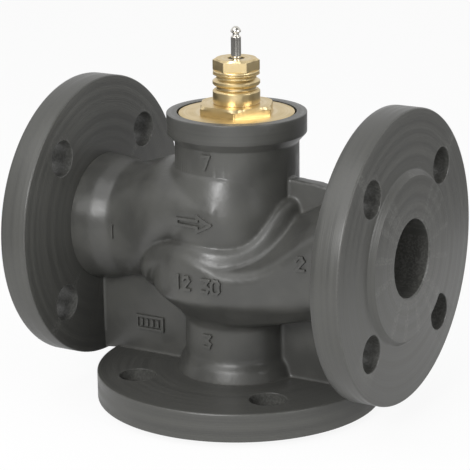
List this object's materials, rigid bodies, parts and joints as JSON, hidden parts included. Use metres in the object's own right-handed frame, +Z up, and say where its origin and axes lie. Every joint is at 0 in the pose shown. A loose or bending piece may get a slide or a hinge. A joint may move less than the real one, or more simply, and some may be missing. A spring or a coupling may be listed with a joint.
{
  "type": "flow control valve",
  "caption": "Three-port flanged mixing valve: a lifting stem with two plugs shares flow between the side inlet and the bottom inlet.",
  "frame": {"origin": "centre of the bottom port's raised face, where the valve stands", "axes": "+Z up the stem, +X from the left port (A) to the right port (AB)"},
  "size_m": [0.2, 0.15, 0.1987],
  "materials": {
    "painted_iron": "satin dark grey paint over cast iron",
    "brass": "turned",
    "stainless": "polished",
    "spring_steel": "drawn wire",
    "ptfe": "waxy",
    "rubber": "matt",
    "gasket_fibre": "matt fibre"
  },
  "bodies": {
    "valve": {"valve_body": "painted_iron", "lower_seat_ring": "stainless", "upper_seat_ring": "stainless", "bonnet": "brass", "bonnet_gasket": "gasket_fibre", "gland_nut": "brass", "gland_washer": "brass", "stem_wiper": "rubber", "stem_o_ring": "rubber", "guide_bush": "ptfe", "spring_seat": "stainless", "packing_spring": "spring_steel", "packing_base_ring": "brass", "packing_ring_1": "ptfe", "packing_ring_2": "ptfe", "packing_ring_3": "ptfe", "packing_top_ring": "ptfe"},
    "stem_assembly": {"stem": "stainless", "upper_plug": "brass", "lower_plug": "brass", "plug_spacer": "stainless", "plug_washer": "stainless", "plug_nut": "stainless", "plug_pin": "spring_steel"}
  },
  "joints": [
    {"name": "stem_slide", "type": "slide", "parent": "valve", "child": "stem_assembly", "axis": [0, 0, 1], "range_m": [0, 0.015]}
  ]
}
